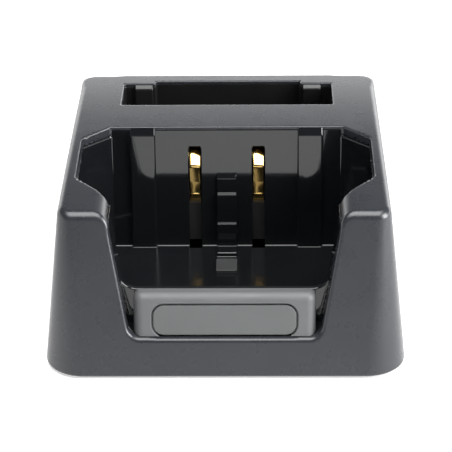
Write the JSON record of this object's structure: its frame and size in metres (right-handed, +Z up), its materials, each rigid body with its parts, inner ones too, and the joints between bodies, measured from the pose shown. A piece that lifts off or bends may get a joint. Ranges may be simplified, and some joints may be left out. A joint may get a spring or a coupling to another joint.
{
  "type": "radio charging cradle",
  "caption": "Desktop charging cradle for a handheld radio, with a leaning radio pocket open at the front, a rear battery slot, a blank nameplate lip and sprung leaf contacts.",
  "frame": {"origin": "bottom centre of the cradle, on the table under its rubber feet", "axes": "+X to the right seen from the front, +Y to the back, +Z up"},
  "size_m": [0.092, 0.0988, 0.0444],
  "materials": {
    "housing_plastic": "satin moulded plastic with a fine spark texture",
    "pocket_plastic": "polished black moulding",
    "cup_plastic": "satin black moulding",
    "block_plastic": "coarser spark texture",
    "nameplate_plastic": "smooth matte plate",
    "base_plastic": "matte moulded plastic",
    "foot_rubber": "soft rubber",
    "screw_steel": "zinc plated",
    "board_laminate": "solder mask",
    "jack_plastic": "moulded socket body",
    "pin_metal": "nickel plated",
    "capacitor_can": "sleeved can",
    "component_black": "moulded package",
    "fuse_green": "coated chip",
    "holder_plastic": "moulded insulator",
    "contact_gold": "gold plated spring strip",
    "lead_insulation": "vinyl insulation"
  },
  "bodies": {
    "cradle": {"top_housing": "housing_plastic", "radio_pocket": "pocket_plastic", "nameplate_block": "block_plastic", "nameplate": "nameplate_plastic", "battery_cup": "cup_plastic", "base_plate": "base_plastic", "rubber_feet": "foot_rubber", "base_screws": "screw_steel", "circuit_board": "board_laminate", "board_screws": "screw_steel", "dc_jack": "jack_plastic", "dc_jack_pin": "pin_metal", "input_capacitor": "capacitor_can", "power_inductor": "component_black", "charge_controllers": "component_black", "input_fuse": "fuse_green", "radio_contact_holder": "holder_plastic", "radio_holder_screws": "screw_steel", "radio_terminals": "contact_gold", "radio_leads": "lead_insulation", "battery_contact_holder": "holder_plastic", "battery_holder_screws": "screw_steel", "battery_terminals": "contact_gold", "battery_leads": "lead_insulation"},
    "radio_leaf_left": {"radio_contact_left": "contact_gold"},
    "radio_leaf_right": {"radio_contact_right": "contact_gold"},
    "battery_leaf_left": {"battery_contact_left": "contact_gold"},
    "battery_leaf_right": {"battery_contact_right": "contact_gold"}
  },
  "joints": [
    {"name": "radio_leaf_left_flex", "type": "hinge", "parent": "cradle", "child": "radio_leaf_left", "pos_m": [-0.0086, 0.00873, 0.024], "axis": [-1, 0, 0], "range_deg": [0, 7.5], "stiffness_Nm_per_rad": 0.15, "springref_deg": -1.72},
    {"name": "radio_leaf_right_flex", "type": "hinge", "parent": "cradle", "child": "radio_leaf_right", "pos_m": [0.0086, 0.00873, 0.024], "axis": [-1, 0, 0], "range_deg": [0, 7.5], "stiffness_Nm_per_rad": 0.15, "springref_deg": -1.72},
    {"name": "battery_leaf_left_flex", "type": "hinge", "parent": "cradle", "child": "battery_leaf_left", "pos_m": [-0.012, 0.02, 0.024], "axis": [1, 0, 0], "range_deg": [0, 8], "stiffness_Nm_per_rad": 0.08, "springref_deg": -2.86},
    {"name": "battery_leaf_right_flex", "type": "hinge", "parent": "cradle", "child": "battery_leaf_right", "pos_m": [0.012, 0.02, 0.024], "axis": [1, 0, 0], "range_deg": [0, 8], "stiffness_Nm_per_rad": 0.08, "springref_deg": -2.86}
  ]
}
